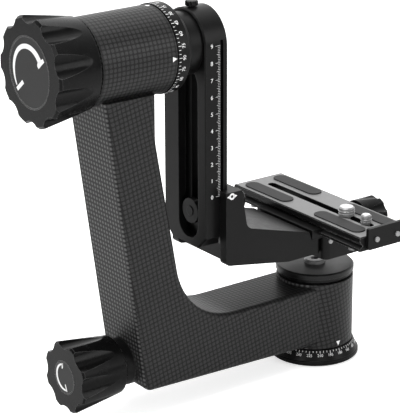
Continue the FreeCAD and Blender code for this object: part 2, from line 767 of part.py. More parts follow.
round_pocket(swing_arm, "YZ_Plane", ("0", "{tilt_height}"), "{axle_radius}",
             "{swing_left_x} - {axle_right_x} + {cut_over}", "-{axle_right_x}", "AxleSeat")
round_pocket(swing_arm, "XY_Plane", ("-{thumb_x}", "0"), "{thumb_shank} + {thumb_play}",
             "{thumb_shank_length} + 2 * {cut_over}", "{tilt_height} + {swing_half_width} + 2 * {cut_over}", "ThumbHole")

thumb_screw = turned("thumb_screw", "Z", [
    ("0", "{swing_half_width} - {thumb_shank_length}"),
    ("{thumb_shank}", "{swing_half_width} - {thumb_shank_length}"),
    ("{thumb_shank}", "{swing_half_width} + 0.5"),
    ("{thumb_radius} - 0.6", "{swing_half_width} + 0.5"),
    ("{thumb_radius}", "{swing_half_width} + {cut_over}"),
    ("{thumb_radius}", "{swing_half_width} + {thumb_height} - 0.5"),
    ("{thumb_radius} - 0.6", "{swing_half_width} + {thumb_height}"),
    ("0", "{swing_half_width} + {thumb_height}"),
], ("-{thumb_x}", "0", "{tilt_height}"))

thumb_notch = new_sketch(thumb_screw, "XY_Plane", "NotchOutline",
                         "{swing_half_width} + {thumb_height} + 1")
round_outline(thumb_notch, "{thumb_radius} + {thumb_notch} / 4", "0", "{thumb_notch}")
thumb_cut = thumb_screw.newObject("PartDesign::Pocket", "Notch")
thumb_cut.Profile = thumb_notch
thumb_cut.setExpression("Length", link("{thumb_height} + 0.4"))
thumb_notches = thumb_screw.newObject("PartDesign::PolarPattern", "Notches")
thumb_notches.Originals = [thumb_cut]
thumb_notches.Axis = (next(i for i in thumb_screw.Origin.OriginFeatures if i.Role == "Z_Axis"), [""])
thumb_notches.Angle = 360.0
thumb_notches.setExpression("Occurrences", link("{thumb_notch_count}"))
thumb_screw.Tip = thumb_notches

# Cradle: bracket, guide keys, lock pieces and clamp.
cradle_bracket = new_body("cradle_bracket", ("0", "0", "0"))
bracket = pad_into(cradle_bracket, "XZ_Plane", [
    ("-{bracket_left_x}", "{bracket_bottom}"),
    ("-{floor_step_x}", "{floor_under_z}"),
    ("-{foot_left_x}", "{floor_under_z}"),
    ("-{foot_left_x}", "{floor_thin_z}"),
    ("-{jaw_back_x} - {face_gap}", "{floor_thin_z}"),
    ("-{floor_thin_x}", "{floor_lip_z}"),
    ("-{floor_high_x}", "{floor_high_z}"),
    ("-{bracket_right_x}", "{bracket_top}"),
    ("-{bracket_left_x}", "{bracket_top}"),
], "2 * {bracket_half_width}", "Profile")
bracket_in = fillet_into(
    cradle_bracket, bracket,
    lambda e: e.BoundBox.YLength > 20 and near(e.BoundBox.XMin, -size("floor_high_x")),
    "{bracket_inner_round}", "InnerRound")
bracket_out = fillet_into(
    cradle_bracket, bracket_in,
    lambda e: e.BoundBox.YLength > 20 and (
        (near(e.BoundBox.XMin, -size("bracket_left_x")) and near(e.BoundBox.ZMin, size("bracket_bottom")))
        or near(e.BoundBox.XMin, -size("floor_step_x"))),
    "{bracket_outer_round}", "OuterRound")
bracket_end = fillet_into(
    cradle_bracket, bracket_out,
    lambda e: e.BoundBox.ZLength > 5 and near(e.BoundBox.XMin, -size("foot_left_x"))
    and near(e.BoundBox.XMax, -size("foot_left_x")),
    "{foot_round}", "EndRound")
arm_seat = new_sketch(cradle_bracket, "XY_Plane", "ArmSeatOutline", "{floor_under_z}")
closed_outline(arm_seat, [
    ("-{bracket_left_x} - {cut_over}", "-{swing_half_width} - {cheek_gap}"),
    ("-{swing_right_x} + {cheek_gap}", "-{swing_half_width} - {cheek_gap}"),
    ("-{swing_right_x} + {cheek_gap}", "{swing_half_width} + {cheek_gap}"),
    ("-{bracket_left_x} - {cut_over}", "{swing_half_width} + {cheek_gap}"),
])
arm_seat_cut = cradle_bracket.newObject("PartDesign::Pocket", "ArmSeat")
arm_seat_cut.Profile = arm_seat
arm_seat_cut.Reversed = True
arm_seat_cut.setExpression("Length", link("{bracket_top} - {floor_under_z} + {cut_over}"))
round_pocket(cradle_bracket, "YZ_Plane", ("-{lock_y}", "{lock_z}"), "{lock_bolt_radius} + {run_gap}",
             "{bracket_left_x}", "-{floor_high_x} + 20", "LockHole")
doc.recompute()


def group(label, shapes):
    """Place several separate solids under one label."""
    feature = doc.addObject("Part::Feature", label)
    feature.Label = label
    feature.Shape = Part.makeCompound(shapes)
    feature.Placement = FreeCAD.Placement()
    return feature


def rod(start, direction, radius, length):
    """Return a plain cylinder."""
    return Part.makeCylinder(radius, length, FreeCAD.Vector(*start), FreeCAD.Vector(*direction))


key_shapes = []
for side in (-1, 1):
    low = size("swing_half_width") - size("groove_depth") + 0.2
    high = size("swing_half_width") + size("cheek_gap")
    key = Part.makeBox(
        size("groove_width") - 0.4, high - low, size("bracket_top") - size("swing_bottom") - 3.0,
        FreeCAD.Vector(0.2 - size("groove_left_x"), low if side > 0 else -high,
                       size("swing_bottom") + 2.0))
    key_shapes.append(key)
group("guide_keys", key_shapes)

lock_axis = ("0", "-{lock_y}", "{lock_z}")
lock_knob = new_body("height_lock_knob", lock_axis)
revolve_into(lock_knob, [
    ("-{lock_seat_x}", "{lock_bolt_radius}"),
    ("-{lock_seat_x}", "{lock_neck_radius}"),
    ("-{lock_seat_x} + {lock_neck_length}", "{lock_neck_radius}"),
    ("-{lock_seat_x} + {lock_neck_length}", "{lock_knob_radius}"),
    ("-{lock_seat_x} + {lock_knob_length} - 2", "{lock_knob_radius}"),
    ("-{lock_seat_x} + {lock_knob_length} - 1", "{lock_knob_radius} - 1"),
    ("-{lock_seat_x} + {lock_knob_length} - 1", "{lock_bolt_radius}"),
], "X", "Core")
height_lock_bolt = turned("height_lock_bolt", "X", [
    ("-{swing_left_x} + 0.8", "0"),
    ("-{swing_left_x} + 0.8", "{lock_bolt_radius}"),
    ("-{lock_seat_x} + {lock_knob_length} - 1.6", "{lock_bolt_radius}"),
    ("-{lock_seat_x} + {lock_knob_length} - 1.6", "0"),
], lock_axis)
height_lock_nut = turned("height_lock_nut", "X", [
    ("-{swing_left_x} + {channel_depth} - {face_gap} - {lock_nut_thickness}",
     "{lock_bolt_radius} + {run_gap}"),
    ("-{swing_left_x} + {channel_depth} - {face_gap} - {lock_nut_thickness}",
     "{lock_nut_radius}"),
    ("-{swing_left_x} + {channel_depth} - {face_gap}", "{lock_nut_radius}"),
    ("-{swing_left_x} + {channel_depth} - {face_gap}", "{lock_bolt_radius} + {run_gap}"),
], lock_axis)

# Clamp foot with the fixed jaw, moving jaw, guide pins, screw and knob.
clamp_foot = new_body("clamp_foot", ("0", "0", "0"))
foot = pad_into(clamp_foot, "XZ_Plane", [
    ("-{foot_left_x}", "{foot_bottom}"),
    ("{foot_right_x}", "{foot_bottom}"),
    ("{foot_right_x}", "{plate_bottom}"),
    ("-{foot_left_x}", "{plate_bottom}"),
], "2 * {foot_half_width}", "Block")
foot_rounded = fillet_into(
    clamp_foot, foot,
    lambda e: e.BoundBox.ZLength > 10 and near(e.BoundBox.YMin, e.BoundBox.YMax)
    and near(abs(e.BoundBox.YMin), size("foot_half_width")),
    "{foot_round}", "FootCorners")
pad_into(clamp_foot, "XZ_Plane", [
    ("-{jaw_back_x}", "{floor_thin_z}"),
    ("-{foot_left_x} + {lip_root}", "{floor_thin_z}"),
    ("-{foot_left_x} + {lip_root}", "{plate_bottom}"),
    ("-{plate_half_width} - {face_gap}", "{plate_bottom}"),
    ("-{plate_half_width} - {face_gap}", "{plate_flange_top} - {jaw_slope_drop}"),
    ("-{plate_notch_half} - {jaw_tip_gap}", "{plate_notch_z} - {jaw_tip_drop}"),
    ("-{plate_notch_half} - {jaw_tip_gap}", "{plate_notch_z} + {jaw_tip_height}"),
    ("-{jaw_back_x}", "{plate_notch_z} + {jaw_tip_height}"),
], "2 * {jaw_half_length}", "FixedJaw")
round_pocket(clamp_foot, "YZ_Plane", ("0", "{clamp_axis_z}"),
             "{clamp_screw_radius} + {run_gap}",
             "{foot_right_x} + {clamp_screw_left_x} + 2", "{foot_right_x} + 1", "ScrewHole")
for name, sign in (("PinHoleNear", "-"), ("PinHoleFar", "")):
    round_pocket(clamp_foot, "YZ_Plane", (sign + "{jaw_pin_y}", "{clamp_axis_z}"),
                 "{jaw_pin_radius}", "{foot_right_x} - {jaw_pin_left_x} + 1",
                 "{foot_right_x} + 1", name)
for name, offset, back in (("SideHoleNear", "{foot_half_width} + 1", False),
                           ("SideHoleFar", "-{foot_half_width} - 1", True)):
    round_pocket(clamp_foot, "XZ_Plane", ("-{foot_screw_x}", "{foot_screw_z}"),
                 "{foot_screw_shank}", "{foot_screw_length} + 1", offset, name, back)

moving_jaw = new_body("moving_jaw", ("0", "0", "0"))
jaw = pad_into(moving_jaw, "XZ_Plane", [
    ("{foot_right_x} + {face_gap}", "{jaw_bottom}"),
    ("{jaw_back_x} + 0.6", "{jaw_bottom}"),
    ("{jaw_back_x} + 0.6", "{plate_notch_z} + {jaw_tip_height}"),
    ("{plate_notch_half} + {jaw_tip_gap}", "{plate_notch_z} + {jaw_tip_height}"),
    ("{plate_notch_half} + {jaw_tip_gap}", "{plate_notch_z} - {jaw_tip_drop}"),
    ("{plate_half_width} + {face_gap}", "{plate_flange_top} - {jaw_slope_drop}"),
    ("{plate_half_width} + {face_gap}", "{plate_bottom} - 0.4"),
    ("{foot_right_x} + {face_gap}", "{plate_bottom} - 0.4"),
], "2 * {jaw_half_length}", "Profile")
fillet_into(
    moving_jaw, jaw,
    lambda e: e.BoundBox.ZLength > 10 and near(e.BoundBox.XMin, size("jaw_back_x") + 0.6)
    and near(e.BoundBox.XMax, size("jaw_back_x") + 0.6),
    "2.5", "JawCorners")
round_pocket(moving_jaw, "YZ_Plane", ("0", "{clamp_axis_z}"),
             "{clamp_screw_radius} + {run_gap}", "{jaw_back_x}", "{jaw_back_x} + 2", "ScrewHole")
for name, sign in (("PinHoleNear", "-"), ("PinHoleFar", "")):
    round_pocket(moving_jaw, "YZ_Plane", (sign + "{jaw_pin_y}", "{clamp_axis_z}"),
                 "{jaw_pin_radius} + {run_gap}", "{jaw_back_x}", "{jaw_back_x} + 2", name)

group("jaw_guide_pins", [
    rod((size("jaw_pin_left_x"), side * size("jaw_pin_y"), size("clamp_axis_z")), (1, 0, 0),
        size("jaw_pin_radius"), size("jaw_back_x") - size("jaw_pin_left_x"))
    for side in (-1, 1)])

foot_screw_shapes = []
for side in (-1, 1):
    outer = side * size("foot_half_width")
    head = rod((-size("foot_screw_x"), outer, size("foot_screw_z")), (0, side, 0),
               size("foot_screw_head"), 0.8)
    shank = rod((-size("foot_screw_x"), outer, size("foot_screw_z")), (0, -side, 0),
                size("foot_screw_shank"), size("foot_screw_length"))
    foot_screw_shapes.append(head.fuse(shank))
group("foot_screws", foot_screw_shapes)

CLAMP = ("0", "0", "{clamp_axis_z}")
clamp_screw = turned("clamp_screw", "X", [
    ("-{clamp_screw_left_x}", "0"),
    ("-{clamp_screw_left_x}", "{clamp_screw_radius}"),
    ("{clamp_knob_right_x} - 2", "{clamp_screw_radius}"),
    ("{clamp_knob_right_x} - 2", "0"),
], CLAMP)
clamp_knob = new_body("clamp_knob", CLAMP)
revolve_into(clamp_knob, [
    ("{jaw_back_x} + 0.8", "{clamp_screw_radius}"),
    ("{jaw_back_x} + 0.8", "{clamp_neck_radius}"),
    ("{clamp_knob_left_x} - 1", "{clamp_neck_radius}"),
    ("{clamp_knob_left_x} + 1", "{clamp_knob_radius}"),
    ("{clamp_knob_right_x} - 1.2", "{clamp_knob_radius}"),
    ("{clamp_knob_right_x}", "{clamp_knob_radius} - 1.2"),
    ("{clamp_knob_right_x}", "0"),
    ("{clamp_knob_right_x} - 2", "0"),
    ("{clamp_knob_right_x} - 2", "{clamp_screw_radius}"),
], "X", "Core")
flutes_into(clamp_knob, ("{clamp_knob_radius} + {clamp_flute_offset}", "{clamp_flute_back}",
                         "{clamp_flute_radius}", "{clamp_flute_length}"),
            "{clamp_flute_count}", "{clamp_knob_right_x} - {clamp_flute_length} + 0.1", "Flute")

# Lens plate with its rubber strips, end stop, screws and safety pins.
lens_plate = new_body("lens_plate", ("0", "0", "0"))
slab = pad_into(lens_plate, "XZ_Plane", [
    ("-{plate_half_width}", "{plate_bottom}"),
    ("{plate_half_width}", "{plate_bottom}"),
    ("{plate_half_width}", "{plate_flange_top}"),
    ("{plate_notch_half}", "{plate_notch_z}"),
    ("{plate_half_width}", "{plate_notch_top}"),
    ("{plate_half_width}", "{plate_top}"),
    ("-{plate_half_width}", "{plate_top}"),
    ("-{plate_half_width}", "{plate_notch_top}"),
    ("-{plate_notch_half}", "{plate_notch_z}"),
    ("-{plate_half_width}", "{plate_flange_top}"),
], "{plate_far_y} + {plate_near_y}", "Slab", False, "-{plate_far_y}")
slab_edge = chamfer_into(
    lens_plate, slab,
    lambda e: near(e.BoundBox.ZMin, size("plate_top")) and near(e.BoundBox.ZMax, size("plate_top")),
    "0.6", "TopEdge")


def plate_window(name, half_width, far_y, near_y, offset, depth):
    """Cut a long pocket down the middle of the plate."""
    sketch = new_sketch(lens_plate, "XY_Plane", name + "Outline", offset)
    closed_outline(sketch, [
        ("-(" + half_width + ")", "-(" + near_y + ")"),
        (half_width, "-(" + near_y + ")"),
        (half_width, far_y),
        ("-(" + half_width + ")", far_y),
    ])
    pocket = lens_plate.newObject("PartDesign::Pocket", name)
    pocket.Profile = sketch
    pocket.setExpression("Length", link(depth))
    return pocket


slot_through = plate_window("Slot", "{plate_slot_width} / 2", "{plate_slot_far}",
                            "{plate_slot_near}", "{plate_top} + 1",
                            "{plate_top} - {plate_bottom} + 2")
slot_ends = fillet_into(
    lens_plate, slot_through,
    lambda e: near(abs(e.BoundBox.XMax), size("plate_slot_width") / 2)
    and near(e.BoundBox.XLength, 0) and near(e.BoundBox.YLength, 0) and e.BoundBox.ZLength > 5,
    "{plate_slot_width} / 2 - 0.1", "SlotEnds")
plate_window("Relief", "{plate_relief_width} / 2", "{plate_slot_far} + 4", "{plate_slot_near} + 4",
             "{plate_bottom} + {plate_relief_depth}", "{plate_relief_depth} + 1")


def strip_shape(centre_x, centre_y, low, height):
    """Return one rounded strip."""
    width = size("rubber_width")
    length = size("rubber_length")
    box = Part.makeBox(width, length, height,
                       FreeCAD.Vector(centre_x - width / 2, centre_y - length / 2, low))
    corners = [e for e in box.Edges if abs(e.BoundBox.ZLength - height) < 0.01]
    return box.makeFillet(width / 2 - 0.4, corners)


strip_centres = [(side * size("rubber_x"), along)
                 for side in (-1, 1)
                 for along in (size("rubber_far_y"), -size("rubber_near_y"))]
group("rubber_strips", [
    strip_shape(x, y, size("plate_top") - size("rubber_depth"),
                size("rubber_depth") + size("rubber_height"))
    for x, y in strip_centres])
for number, (sign_x, along) in enumerate((
        ("-", "{rubber_far_y}"), ("", "{rubber_far_y}"),
        ("-", "-{rubber_near_y}"), ("", "-{rubber_near_y}"))):
    sketch = new_sketch(lens_plate, "XY_Plane", "StripSeat%dOutline" % number, "{plate_top}")
    closed_outline(sketch, [
        (sign_x + "{rubber_x} - {rubber_width} / 2", along + " - {rubber_length} / 2"),
        (sign_x + "{rubber_x} + {rubber_width} / 2", along + " - {rubber_length} / 2"),
        (sign_x + "{rubber_x} + {rubber_width} / 2", along + " + {rubber_length} / 2"),
        (sign_x + "{rubber_x} - {rubber_width} / 2", along + " + {rubber_length} / 2"),
    ])
    seat = lens_plate.newObject("PartDesign::Pocket", "StripSeat%d" % number)
    seat.Profile = sketch
    seat.setExpression("Length", link("{rubber_depth}"))
    centre_y = size("rubber_far_y") if "far" in along else -size("rubber_near_y")
    centre_x = size("rubber_x") * (-1 if sign_x else 1)
    half_x = size("rubber_width") / 2
    half_y = size("rubber_length") / 2
    fillet_into(
        lens_plate, seat,
        lambda e: near(e.BoundBox.ZLength, size("rubber_depth"))
        and near(abs(e.BoundBox.XMax - centre_x), half_x)
        and near(abs(e.BoundBox.YMax - centre_y), half_y)
        and near(e.BoundBox.XLength, 0) and near(e.BoundBox.YLength, 0),
        "{rubber_width} / 2 - 0.4", "StripSeatEnds%d" % number)
for name, sign in (("StopHoleLeft", "-"), ("StopHoleRight", "")):
    round_pocket(lens_plate, "XZ_Plane", (sign + "{stop_screw_x}", "{stop_screw_z}"),
                 "{stop_screw_shank}", "{stop_screw_length}",
                 "{plate_near_y} + {stop_thickness}", name)
for name, along in (("SafetyHoleFar", "{safety_far_y}"), ("SafetyHoleNear", "-{safety_near_y}")):
    round_pocket(lens_plate, "XY_Plane", ("-{safety_x}", along),
                 "{safety_shank}", "{safety_depth}", "{plate_bottom}", name, True)

end_stop = new_body("end_stop", ("0", "0", "0"))
stop_slab = pad_into(end_stop, "XZ_Plane", [
    ("-{stop_half_width}", "{stop_bottom}"),
    ("{stop_half_width}", "{stop_bottom}"),
    ("{stop_half_width}", "{stop_top}"),
    ("-{stop_half_width}", "{stop_top}"),
], "{stop_thickness}", "Slab", False, "{plate_near_y}")
fillet_into(
    end_stop, stop_slab,
    lambda e: near(e.BoundBox.YLength, size("stop_thickness")), "1.2", "StopCorners")
for name, sign in (("HoleLeft", "-"), ("HoleRight", "")):
    round_pocket(end_stop, "XZ_Plane", (sign + "{stop_screw_x}", "{stop_screw_z}"),
                 "{stop_screw_shank}", "{stop_thickness} + 2",
                 "{plate_near_y} + {stop_thickness} + 1", name)

stop_screw_shapes = []
for side in (-1, 1):
    seat = (side * size("stop_screw_x"), -size("plate_near_y") - size("stop_thickness"),
            size("stop_screw_z"))
    head = rod(seat, (0, -1, 0), size("stop_screw_head"), 1.0)
    shank = rod(seat, (0, 1, 0), size("stop_screw_shank"), size("stop_screw_length") - 0.4)
    stop_screw_shapes.append(head.fuse(shank))
group("stop_screws", stop_screw_shapes)

safety_shapes = []
for along in (size("safety_far_y"), -size("safety_near_y")):
    seat = (-size("safety_x"), along, size("plate_bottom"))
    head = rod(seat, (0, 0, -1), size("safety_radius"), size("safety_height"))
    shank = rod(seat, (0, 0, 1), size("safety_shank"), size("safety_depth") - 0.4)
    safety_shapes.append(head.fuse(shank))
group("safety_pins", safety_shapes)

for label, radius, head_radius, along in (
        ("camera_screw_large", "{big_screw_radius}", "{big_screw_head}", "-{big_screw_y}"),
        ("camera_screw_small", "{small_screw_radius}", "{small_screw_head}", "-{small_screw_y}")):
    ledge = "{plate_bottom} + {plate_relief_depth} - {camera_washer}"
    turned(label, "Z", [
        ("0", ledge + " - {camera_head_height}"),
        (head_radius, ledge + " - {camera_head_height}"),
        (head_radius, ledge),
        ("{camera_neck_radius}", ledge),
        ("{camera_neck_radius}", "{plate_top} + {face_gap}"),
        (radius, "{plate_top} + {face_gap}"),
        (radius, "{plate_top} + {camera_screw_rise} - {camera_tip_chamfer}"),
        (radius + " - {camera_tip_chamfer}", "{plate_top} + {camera_screw_rise}"),
        ("0", "{plate_top} + {camera_screw_rise}"),
    ], ("0", along, "0"))

for label, outer, along in (
        ("camera_washer_large", "{big_screw_head}", "-{big_screw_y}"),
        ("camera_washer_small", "{small_screw_head}", "-{small_screw_y}")):
    top = "{plate_bottom} + {plate_relief_depth}"
    turned(label, "Z", [
        ("{camera_neck_radius} + {run_gap}", top + " - {camera_washer}"),
        (outer, top + " - {camera_washer}"),
        (outer, top),
        ("{camera_neck_radius} + {run_gap}", top),
    ], ("0", along, "0"))

doc.recompute()
written = []
for item in doc.Objects:
    if "Invalid" in item.State or "Error" in item.State:
        raise RuntimeError("A feature did not build: " + item.Label)
    if item.TypeId == "PartDesign::Body" or item.TypeId == "Part::Feature":
        if item.Shape.isNull() or not item.Shape.isValid():
            raise RuntimeError("A shape is not sound: " + item.Label)
        item.Shape.exportStep("parts/" + item.Label + ".step")
        written.append(item.Label)
print("nodes written:", len(written))
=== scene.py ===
import json
import math

import bmesh
import bpy
from mathutils import Matrix, Vector


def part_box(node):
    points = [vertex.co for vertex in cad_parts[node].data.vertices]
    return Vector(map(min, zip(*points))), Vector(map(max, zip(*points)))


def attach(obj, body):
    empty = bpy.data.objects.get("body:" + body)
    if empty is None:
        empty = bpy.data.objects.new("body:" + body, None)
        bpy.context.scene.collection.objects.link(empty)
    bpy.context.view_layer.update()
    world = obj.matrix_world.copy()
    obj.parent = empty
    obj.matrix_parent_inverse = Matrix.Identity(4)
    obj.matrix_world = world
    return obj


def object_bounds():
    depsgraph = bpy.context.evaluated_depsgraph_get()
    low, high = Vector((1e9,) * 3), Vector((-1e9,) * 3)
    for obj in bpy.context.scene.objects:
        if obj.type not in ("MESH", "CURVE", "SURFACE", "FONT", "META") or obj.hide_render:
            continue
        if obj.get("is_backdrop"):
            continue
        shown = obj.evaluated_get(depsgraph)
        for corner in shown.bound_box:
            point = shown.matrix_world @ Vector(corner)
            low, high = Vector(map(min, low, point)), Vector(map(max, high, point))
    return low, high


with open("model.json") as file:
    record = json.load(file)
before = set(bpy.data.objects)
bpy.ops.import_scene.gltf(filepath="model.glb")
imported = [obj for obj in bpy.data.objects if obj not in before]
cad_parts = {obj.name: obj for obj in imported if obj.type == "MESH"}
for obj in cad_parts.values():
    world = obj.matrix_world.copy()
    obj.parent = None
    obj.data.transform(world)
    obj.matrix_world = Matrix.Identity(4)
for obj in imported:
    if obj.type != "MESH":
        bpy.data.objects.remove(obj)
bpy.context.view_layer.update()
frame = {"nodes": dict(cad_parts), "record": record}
NODES = frame["nodes"]
MM = 0.001

# Sizes read from the CAD pieces, so that every mark follows them.
TILT_LOW, TILT_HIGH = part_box("tilt_index_ring")
TILT_AXIS_Z = (TILT_LOW[2] + TILT_HIGH[2]) / 2
TILT_RADIUS = (TILT_HIGH[2] - TILT_LOW[2]) / 2
ARM_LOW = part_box("swing_arm")[0]
BRACKET_LOW, BRACKET_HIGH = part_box("cradle_bracket")
PAN_RING_LOW, PAN_RING_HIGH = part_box("pan_index_ring")
TILT_INLAY_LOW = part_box("tilt_knob_inlay")[0]
PAN_INLAY_LOW, PAN_INLAY_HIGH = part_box("pan_knob_inlay")
PAN_HOUSE_RADIUS = 24.0 * MM

# Grain of the finishes, in cells per metre, and the range that most noise values lie in.
CLOUD_CELLS = 180.0
SOFT_CLOUD_CELLS = 140.0
FINE_CELLS = 3200.0
SCUFF_CELLS = 700.0
FIBRE_CELLS = 1500.0
INK_CELLS = 3000.0
NOISE_LOW = 0.3
NOISE_HIGH = 0.7

# Depth of the surface relief, and the radius that bare corners are rounded by.
METAL_RELIEF = 0.02 * MM
WEAVE_RELIEF = 0.05 * MM
SOFT_RELIEF = 0.06 * MM
CORNER = 0.4 * MM
# Radius of the lighter corners, which are part wear and part painted highlight.
WORN_AND_GLINT_CORNER = 0.5 * MM
WEAVE_CORNER = 0.8 * MM

# How printed marks stand on their faces.
INK_DEPTH = 0.06 * MM
INK_RISE = 0.02 * MM


class Shader:
    """A small helper for building one node material."""

    def __init__(self, name):
        self.material = bpy.data.materials.new(name)
        self.material.use_nodes = True
        self.tree = self.material.node_tree
        self.tree.nodes.clear()
        self.output = self.add("ShaderNodeOutputMaterial")
        self.surface = self.add("ShaderNodeBsdfPrincipled")
        self.link(self.surface.outputs["BSDF"], self.output.inputs["Surface"])
        self.place = self.add("ShaderNodeTexCoord").outputs["Object"]

    def add(self, kind):
        """Add a node of a kind and return it."""
        return self.tree.nodes.new(kind)

    def link(self, source, target):
        """Join two sockets."""
        self.tree.links.new(source, target)

    def feed(self, socket, value):
        """Give a socket a constant or another node's output."""
        if isinstance(value, bpy.types.NodeSocket):
            self.link(value, socket)
        else:
            socket.default_value = value

    def maths(self, operation, first, second=0.0):
        """Return the output of a Math node."""
        node = self.add("ShaderNodeMath")
        node.operation = operation
        for socket, value in zip(node.inputs, (first, second)):
            self.feed(socket, value)
        return node.outputs[0]

    def noise(self, scale, detail=2.0):
        """Return a noise value in real units: scale is in cells per metre."""
        node = self.add("ShaderNodeTexNoise")
        self.link(self.place, node.inputs["Vector"])
        node.inputs["Scale"].default_value = scale
        node.inputs["Detail"].default_value = detail
        return node.outputs["Fac"]

    def spread(self, noise, out_low, out_high):
        """Return a noise value mapped from its usual range to another."""
        return self.ramp(noise, NOISE_LOW, NOISE_HIGH, out_low, out_high)

    def ramp(self, value, low, high, out_low, out_high):
        """Return a value mapped from one range to another."""
        node = self.add("ShaderNodeMapRange")
        self.feed(node.inputs["Value"], value)
        self.feed(node.inputs["From Min"], low)
        self.feed(node.inputs["From Max"], high)
        node.inputs["To Min"].default_value = out_low
        node.inputs["To Max"].default_value = out_high
        return node.outputs["Result"]

    def mix(self, factor, first, second):
        """Return a mix of two colours."""
        node = self.add("ShaderNodeMix")
        node.data_type = "RGBA"
        self.feed(node.inputs["Factor"], factor)
        for name, value in (("A", first), ("B", second)):
            socket = next(s for s in node.inputs if s.name == name and s.type == "RGBA")
            self.feed(socket, value)
        return next(s for s in node.outputs if s.type == "RGBA")

    def bump(self, height, strength, distance, corner=CORNER):
        """Drive the surface normal from a height, over slightly rounded corners."""
        node = self.add("ShaderNodeBump")
        node.inputs["Strength"].default_value = strength
        node.inputs["Distance"].default_value = distance
        self.feed(node.inputs["Height"], height)
        self.link(self.rounded(corner), node.inputs["Normal"])
        self.link(node.outputs["Normal"], self.surface.inputs["Normal"])

    def rounded(self, radius):
        """Return the normal with every corner rounded by a small radius."""
        node = self.add("ShaderNodeBevel")
        node.samples = 4
        node.inputs["Radius"].default_value = radius
        return node.outputs["Normal"]

    def edge(self, radius=WORN_AND_GLINT_CORNER, low=0.03, high=0.22):
        """Return a value that rises along the corners of a mesh."""
        dot = self.add("ShaderNodeVectorMath")
        dot.operation = "DOT_PRODUCT"
        self.link(self.rounded(radius), dot.inputs[0])
        self.link(self.add("ShaderNodeNewGeometry").outputs["True Normal"], dot.inputs[1])
        away = self.maths("SUBTRACT", 1.0, dot.outputs["Value"])
        return self.ramp(away, low, high, 0.0, 1.0)

    def upward(self, low=0.80, high=0.97):
        """Return a value that is one where a surface faces up."""
        split = self.add("ShaderNodeSeparateXYZ")
        self.link(self.add("ShaderNodeNewGeometry").outputs["Normal"], split.inputs[0])
        return self.ramp(split.outputs[2], low, high, 0.0, 1.0)


def grey(value):
    """Return a neutral colour."""
    return (value, value, value, 1.0)


def metal(name, value, roughness, worn_and_glint_to, metallic=0.0, grain=0.2, wear_and_glint=0.3, top=None,
          specular=0.5):
    """Return metal with fine grain, cloudy roughness, lighter corners that are part wear and part painted
    highlight, and perhaps a painted lighter top where the surface faces up.
    """
    shade = Shader(name)
    shade.surface.inputs["Specular IOR Level"].default_value = specular
    cloud = shade.noise(CLOUD_CELLS, 3.0)
    fine = shade.noise(FINE_CELLS)
    base = shade.mix(shade.spread(cloud, 0.0, 1.0), grey(value * 0.88), grey(value * 1.12))
    # Painted top light: where the surface faces up in the world, the colour turns to a lighter grey set by
    # top, standing in for light falling from above.
    if top is not None:
        top_light_grain = shade.spread(fine, 0.85, 1.15)
        painted_top_light = shade.mix(shade.maths("SUBTRACT", top_light_grain, 0.5), grey(top * 0.6), grey(top))
        base = shade.mix(shade.upward(), base, painted_top_light)
    # Lighter corners, part edge wear and part painted highlight: along rounded corners the colour turns
    # towards a light grey, broken up by noise.
    scuff = shade.ramp(shade.noise(SCUFF_CELLS, 4.0), 0.35, 0.65, wear_and_glint * 0.4, wear_and_glint)
    worn_and_glint = shade.maths("MULTIPLY", shade.edge(), scuff)
    shade.feed(shade.surface.inputs["Base Color"], shade.mix(worn_and_glint, base, grey(worn_and_glint_to)))
    shade.surface.inputs["Metallic"].default_value = metallic
    rough = shade.maths("ADD", shade.spread(cloud, roughness - 0.04, roughness + 0.04),
                        shade.spread(fine, -0.03, 0.03))
    shade.feed(shade.surface.inputs["Roughness"], rough)
    shade.bump(fine, grain, METAL_RELIEF)
    return shade.material


